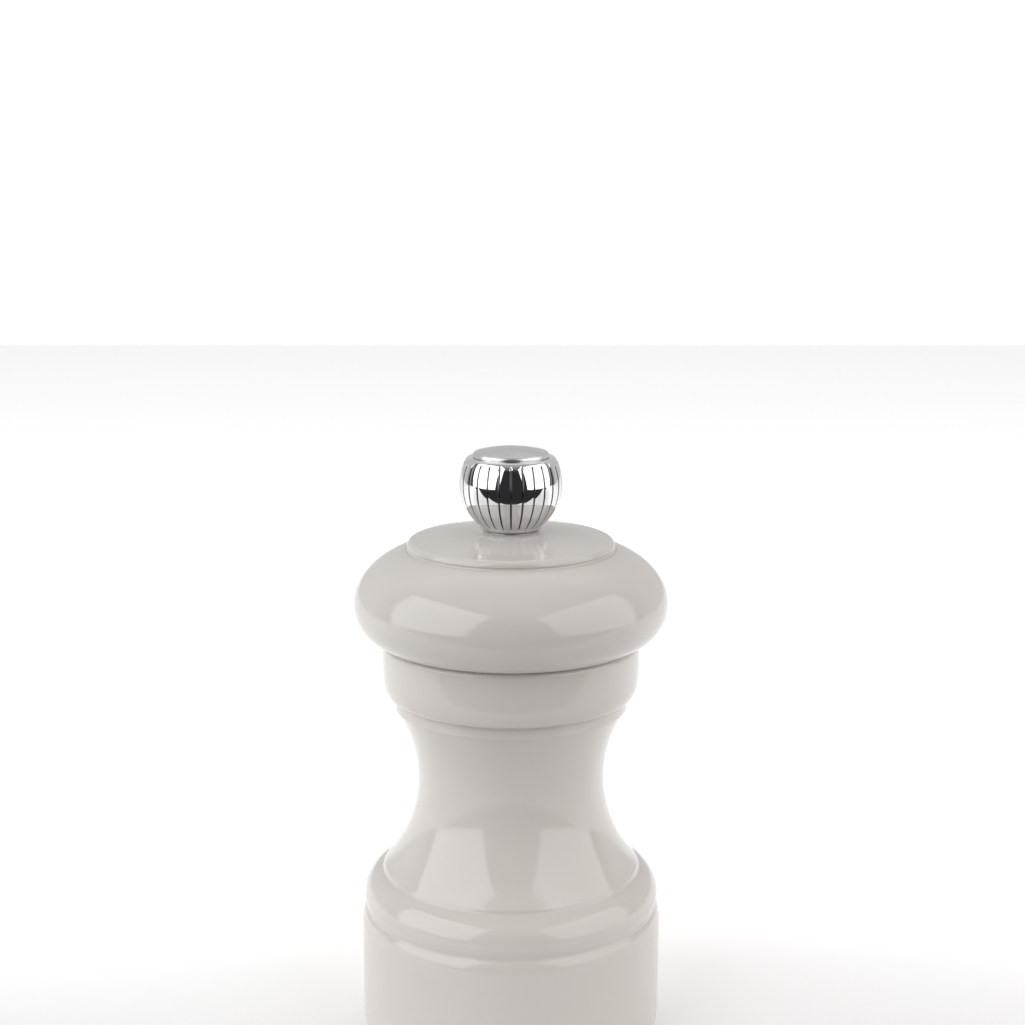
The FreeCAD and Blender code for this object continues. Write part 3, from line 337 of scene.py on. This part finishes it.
def makeHead():
    low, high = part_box("mill_head")
    size = dict(height=18.8, widestAt=0.34, over=26.1, footR=21.9, edge=0.2, relief=0.3, reliefR=20.15,
                shoulderRun=14.8, shoulderRise=10.0, crown=17.2, crownEdge=1.0, crownSwell=-0.3, dome=80.0,
                groove=0.35, spigot=15.0, spigotLong=9.0, spigotEdge=0.8, bore=3.73, boreTop=81.65,
                studBore=3.4, flange=4.4, flangeDeep=0.4, plate=11.75, plateDeep=1.2, turns=240)
    top = high[2] / mm
    bottom = low[2] / mm
    foot = bottom + size["spigotLong"]
    wide = (size["over"], foot + size["height"] * size["widestAt"])
    crownR = size["crown"]

    def crownZ(r):
        return top - size["dome"] + math.sqrt(size["dome"] ** 2 - r * r)

    bm = bmesh.new()
    first = v = startAt(bm, size["footR"], foot + size["relief"])
    v = runTo(bm, v, size["footR"] + size["edge"], foot + size["relief"] + size["edge"] / 2)
    dr, dz = wide[0] - v.co.x / mm, wide[1] - v.co.z / mm
    radius = (dr * dr + dz * dz) / (2 * dr)
    half = math.atan2(dz, radius - dr) / 2
    v = swellTo(bm, v, wide[0], wide[1], radius * (1 - math.cos(half)), 20)
    ovalR = size["over"] - size["shoulderRun"]
    lean = math.degrees(math.acos((crownR + size["groove"] - ovalR) / size["shoulderRun"]))
    v = ovalTo(bm, v, ovalR, wide[1], size["shoulderRun"], size["shoulderRise"], lean, 28)
    edgeR = crownR - size["crownEdge"]
    v = swellTo(bm, v, crownR, crownZ(edgeR) - size["crownEdge"], size["crownSwell"], 8)
    v = quarterTo(bm, v, edgeR, crownZ(edgeR), 8)
    flange = size["flange"]
    bulge = size["dome"] - math.sqrt(size["dome"] ** 2 - ((edgeR - flange) / 2) ** 2)
    v = swellTo(bm, v, flange, crownZ(flange), bulge, 12)
    for r, z in ((flange, top - size["flangeDeep"]), (size["studBore"], top - size["flangeDeep"]),
                 (size["studBore"], size["boreTop"]), (size["bore"], size["boreTop"]),
                 (size["bore"], bottom + size["plateDeep"]), (size["plate"], bottom + size["plateDeep"]),
                 (size["plate"], bottom), (size["spigot"] - size["spigotEdge"], bottom),
                 (size["spigot"], bottom + size["spigotEdge"]), (size["spigot"], foot),
                 (size["reliefR"], foot),
                 (size["reliefR"] + size["relief"], foot + size["relief"])):
        v = runTo(bm, v, r, z)
    closeLoop(bm, first, v)
    turnRound(bm, size["turns"])
    for face in bm.faces:
        middle = face.calc_center_median() / mm
        r = math.hypot(middle.x, middle.y)
        bare = middle.z < foot + 0.01 or r < size["bore"] + 0.1
        face.material_index = 1 if bare else 0
    return finishPiece(bm, "turnedHead", "head", [paleLacquer, bareBeech], ["mill_head"])


# ---- the knob: a chromed ball with narrow grooves, and its satin disc

def makeKnob():
    low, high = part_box("adjusting_knob")
    size = dict(flutes=27, perFlute=12, grooveHalf=0.075, grooveDeep=0.24, landSwell=0.035, gather=1.6,
                wide=8.45, wideAt=7.5, footR=5.21, footRound=0.7, band=0.6, bandSwell=0.22, ledgeR=6.5,
                ledgeDrop=0.25, bore=2.85,
                roomTop=95.95, seatR=5.2, seatDrop=1.25, runOut=0.55, topRunOut=0.15)
    foot, ledge = low[2] / mm, high[2] / mm
    wideZ = foot + size["wideAt"]
    dr = size["wide"] - size["footR"]
    dz = wideZ - foot - size["footRound"]
    radius = (dr * dr + dz * dz) / (2 * dr)
    centreR = size["wide"] - radius
    bandZ = ledge - size["band"]
    bandR = centreR + math.sqrt(radius ** 2 - (bandZ - wideZ) ** 2)
    bm = bmesh.new()
    first = v = startAt(bm, size["bore"], foot)
    v = runTo(bm, v, size["footR"] - size["footRound"], foot)
    v = quarterTo(bm, v, size["footR"], foot + size["footRound"], 4)
    half = math.atan2(dz, radius - dr) / 2
    v = swellTo(bm, v, size["wide"], wideZ, radius * (1 - math.cos(half)), 18)
    half = math.asin((bandZ - wideZ) / radius) / 2
    v = swellTo(bm, v, bandR, bandZ, radius * (1 - math.cos(half)), 12)
    v = swellTo(bm, v, size["ledgeR"], ledge, size["bandSwell"], 5)
    for r, z in ((size["seatR"], ledge - size["ledgeDrop"]), (size["seatR"], ledge - size["seatDrop"]),
                 (0, ledge - size["seatDrop"])):
        v = runTo(bm, v, r, z)
    v = startAt(bm, 0, size["roomTop"])
    v = runTo(bm, v, size["bore"], size["roomTop"])
    closeLoop(bm, v, first)
    turnRound(bm, size["flutes"] * size["perFlute"])
    pitch = math.tau / size["flutes"]
    for vert in bm.verts:
        r = math.hypot(vert.co.x, vert.co.y) / mm
        z = vert.co.z / mm
        onSkin = z > foot + size["footRound"] - 0.01 and z < bandZ + 0.01 and r > size["footR"] - 0.01
        if not onSkin:
            continue
        angle = math.atan2(vert.co.y, vert.co.x) + math.pi / 2
        share = (angle / pitch + 0.5) % 1.0 - 0.5
        share -= 1 if share > 0.4999 else 0
        near = math.copysign(0.5 * (2 * abs(share)) ** size["gather"], share)
        vert.co.rotate(Matrix.Rotation((near - share) * pitch, 3, "Z"))
        fade = min(1, (z - foot - size["footRound"]) / size["runOut"], (bandZ - z) / size["topRunOut"])
        fade = max(0, fade)
        groove = max(0, 1 - abs(near) / size["grooveHalf"])
        land = 1 - (1 - 2 * abs(near)) ** 2
        shift = size["landSwell"] * land * fade - size["grooveDeep"] * groove * math.sqrt(fade)
        outward = Vector((vert.co.x, vert.co.y, 0)).normalized() * (r - centreR) + Vector((0, 0, z - wideZ))
        vert.co += outward.normalized() * shift * mm
    for face in bm.faces:  # painted shade: the groove faces get a darker chrome that stands in for the shade down in the grooves
        middle = face.calc_center_median() / mm
        share = ((math.atan2(middle.y, middle.x) + math.pi / 2) / pitch + 0.5) % 1.0 - 0.5
        onSkin = foot + size["footRound"] < middle.z < bandZ
        onSkin = onSkin and math.hypot(middle.x, middle.y) > size["footR"]
        face.material_index = 1 if onSkin and abs(share) < size["grooveHalf"] else 0
    bmesh.ops.recalc_face_normals(bm, faces=bm.faces)
    return finishPiece(bm, "flutedKnob", "knob", [knobChrome, paintedGrooveShade],
                       ["adjusting_knob"], 48)


def makeDisc():
    low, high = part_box("knob_cap")
    size = dict(edge=0.5, dome=0.75, undercut=0.25, spigot=5.2, spigotDeep=1.0, ledgeGap=0.25, turns=160)
    top, bottom = high[2] / mm, low[2] / mm
    r = high[0] / mm
    under = bottom + size["spigotDeep"]
    ledge = under + size["ledgeGap"]
    bm = bmesh.new()
    v = startAt(bm, 0, bottom)
    neck = r - size["undercut"]
    for pr, pz in ((size["spigot"], bottom), (size["spigot"], under), (neck, under), (neck, ledge),
                   (r, ledge + size["undercut"] / 2), (r, top - size["dome"] - size["edge"])):
        v = runTo(bm, v, pr, pz)
    v = quarterTo(bm, v, r - size["edge"], top - size["dome"], 5)
    flat = r - size["edge"]
    ball = (flat ** 2 + size["dome"] ** 2) / (2 * size["dome"])
    half = math.asin(flat / ball) / 2
    swellTo(bm, v, 0, top, ball * (1 - math.cos(half)), 16)
    turnRound(bm, size["turns"])
    return finishPiece(bm, "satinCap", "knob", [satinDisc], ["knob_cap"])


# ---- the spring, a coil of round wire at one fixed length

def makeSpring():
    low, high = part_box("pressure_spring")
    size = dict(wire=0.45, turns=5.0, perTurn=48, facets=16, shorter=1.2)
    wire, steps = size["wire"] * mm, int(size["turns"] * size["perTurn"])
    tall = high[2] - low[2]
    bm = bmesh.new()
    bmesh.ops.create_circle(bm, cap_ends=True, radius=wire, segments=size["facets"])
    bmesh.ops.rotate(bm, matrix=Matrix.Rotation(math.radians(90), 3, "X"), verts=bm.verts)
    bmesh.ops.translate(bm, vec=(high[0] - wire, 0, low[2] + wire), verts=bm.verts)
    out = bmesh.ops.spin(bm, geom=bm.verts[:] + bm.edges[:], cent=(0, 0, 0), axis=(0, 0, 1),
                         dvec=(0, 0, (tall - 2 * wire) / steps), angle=math.tau * size["turns"], steps=steps,
                         use_merge=False, use_duplicate=False)
    end = [g for g in out["geom_last"] if isinstance(g, bmesh.types.BMEdge)]
    bmesh.ops.contextual_create(bm, geom=end)
    bmesh.ops.recalc_face_normals(bm, faces=bm.faces)
    spring = finishPiece(bm, "coiledSpring", "thrust_washer", [springWire],
                         ["pressure_spring"])
    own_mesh(spring)


makeBody()
makeHead()
makeKnob()
makeDisc()
makeSpring()


# ---- inner pieces keep their shape and get their finish

innerFinishes = {
    "head_ferrule": platedSteel, "head_drive_plate": platedSteel, "head_plate_screws": screwZinc,
    "knob_insert": turnedBrass, "drive_shaft": drawnSteel, "rotor": toothSteel, "rotor_washer": platedSteel,
    "shaft_nut": screwZinc, "spring_cup": platedSteel, "spring_washer": platedSteel,
    "stator_ring": toothSteel, "stator_plate": platedSteel, "plate_screws": screwZinc,
    "shaft_bridge": platedSteel, "bridge_bush": whiteAcetal, "retaining_bar": platedSteel,
    "bar_screws": screwZinc,
}
for name, finish in innerFinishes.items():
    mesh = nodes[name].data
    mesh.materials.clear()
    mesh.materials.append(finish)
print("inner pieces finished")


# ---- studio: white floor, two broad soft boxes in front, dark room behind the camera

def makeFloor():
    # painted light: glowNear and glowFar set how much the floor glows, rising from near to far along Y
    look = dict(aside=0.95, front=-0.13, back=1.1, shade=0.78, patch=60, glowNear=0.04, glowFar=0.50,
                near=-0.05, far=0.08)
    bm = bmesh.new()
    bmesh.ops.create_grid(bm, x_segments=12, y_segments=8, size=1)
    bmesh.ops.scale(bm, vec=(look["aside"], (look["back"] - look["front"]) / 2, 1), verts=bm.verts)
    bmesh.ops.translate(bm, vec=(0, (look["back"] + look["front"]) / 2, 0), verts=bm.verts)
    mesh = bpy.data.meshes.new("tableTop")
    bm.to_mesh(mesh)
    bm.free()
    floor = bpy.data.objects.new("tableTop", mesh)
    bpy.context.scene.collection.objects.link(floor)
    finish, tree, shader, place = newFinish("whiteTable")
    shade = look["shade"]
    faint = spread(tree, cloud(tree, place, look["patch"], 2), 0, 1)
    paper = tinted(tree, faint, (shade,) * 3, (shade + 0.01,) * 3)
    tree.links.new(paper, shader.inputs["Base Color"])
    shader.inputs["Roughness"].default_value = 0.6
    shader.inputs["Emission Color"].default_value = (1, 1, 1, 1)
    reach = tree.nodes.new("ShaderNodeSeparateXYZ")  # painted light: the paper glows, weakly near the foot and more towards the back
    tree.links.new(place, reach.inputs["Vector"])
    glow = tree.nodes.new("ShaderNodeMapRange")
    glow.interpolation_type = "SMOOTHSTEP"
    for socket, value in (("From Min", "near"), ("From Max", "far"),
                          ("To Min", "glowNear"), ("To Max", "glowFar")):
        glow.inputs[socket].default_value = look[value]
    tree.links.new(reach.outputs["Y"], glow.inputs["Value"])
    tree.links.new(glow.outputs["Result"], shader.inputs["Emission Strength"])
    mesh.materials.append(finish)


def makeLamps():
    lamps = (
        dict(name="softBoxLeft", azimuth=-62, width=0.97, height=0.84, middle=0.39, away=0.68,
             power=6.0, tint=(1, 1, 0.995)),
        dict(name="softBoxRight", azimuth=66, width=1.02, height=0.80, middle=0.37, away=0.68,
             power=4.8, tint=(1, 0.975, 0.97)))
    aim = Vector((0, 0, 0.07))
    for box in lamps:
        lamp = bpy.data.lights.new(box["name"], "AREA")
        lamp.shape = "RECTANGLE"
        lamp.size = box["width"]
        lamp.size_y = box["height"]
        lamp.energy = box["power"]
        lamp.color = box["tint"]
        turn = math.radians(box["azimuth"])
        holder = bpy.data.objects.new(box["name"], lamp)
        bpy.context.scene.collection.objects.link(holder)
        holder.location = (math.sin(turn) * box["away"], -math.cos(turn) * box["away"], box["middle"])
        holder.rotation_euler = (aim - holder.location).to_track_quat("-Z", "Y").to_euler()
        holder.visible_camera = False


def makeSky():
    look = dict(front=0.03, back=0.62, top=0.44, seen=1.15)
    world = bpy.data.worlds.new("studioAir")
    bpy.context.scene.world = world
    world.use_nodes = True
    tree = world.node_tree
    ground = tree.nodes["Background"]
    seen = tree.nodes.new("ShaderNodeBackground")
    ground.inputs["Color"].default_value = (1, 1, 1, 1)
    seen.inputs["Color"].default_value = (1, 1, 1, 1)
    seen.inputs["Strength"].default_value = look["seen"]
    way = tree.nodes.new("ShaderNodeTexCoord")
    split = tree.nodes.new("ShaderNodeSeparateXYZ")
    tree.links.new(way.outputs["Generated"], split.inputs["Vector"])
    parts = []
    for axis, start, end, low, high in (("Y", 0.16, 0.48, look["front"], look["back"]),
                                        ("Z", 0.55, 0.90, 0, look["top"])):
        part = tree.nodes.new("ShaderNodeMapRange")
        part.interpolation_type = "SMOOTHSTEP"
        for socket, value in (("From Min", start), ("From Max", end), ("To Min", low), ("To Max", high)):
            part.inputs[socket].default_value = value
        tree.links.new(split.outputs[axis], part.inputs["Value"])
        parts.append(part.outputs["Result"])
    both = tree.nodes.new("ShaderNodeMath")
    tree.links.new(parts[0], both.inputs[0])
    tree.links.new(parts[1], both.inputs[1])
    tree.links.new(both.outputs["Value"], ground.inputs["Strength"])
    path = tree.nodes.new("ShaderNodeLightPath")
    mix = tree.nodes.new("ShaderNodeMixShader")
    tree.links.new(path.outputs["Is Camera Ray"], mix.inputs["Fac"])
    tree.links.new(ground.outputs["Background"], mix.inputs[1])
    tree.links.new(seen.outputs["Background"], mix.inputs[2])
    tree.links.new(mix.outputs["Shader"], tree.nodes["World Output"].inputs["Surface"])


def makeCamera():
    look = dict(lens=62.87, sensor=36.0, tilt=78.6, away=289.3, height=147.4, aside=0.25)
    camera = bpy.data.objects.new("frontCamera", bpy.data.cameras.new("frontCamera"))
    bpy.context.scene.collection.objects.link(camera)
    camera.data.lens = look["lens"]
    camera.data.sensor_width = look["sensor"]
    camera.data.clip_start = 0.01
    camera.location = (look["aside"] * mm, -look["away"] * mm, look["height"] * mm)
    camera.rotation_euler = (math.radians(look["tilt"]), 0, 0)
    bpy.context.scene.camera = camera


makeFloor()
makeLamps()
makeSky()
makeCamera()
bpy.context.scene.view_settings.view_transform = "Standard"
print("studio ready")
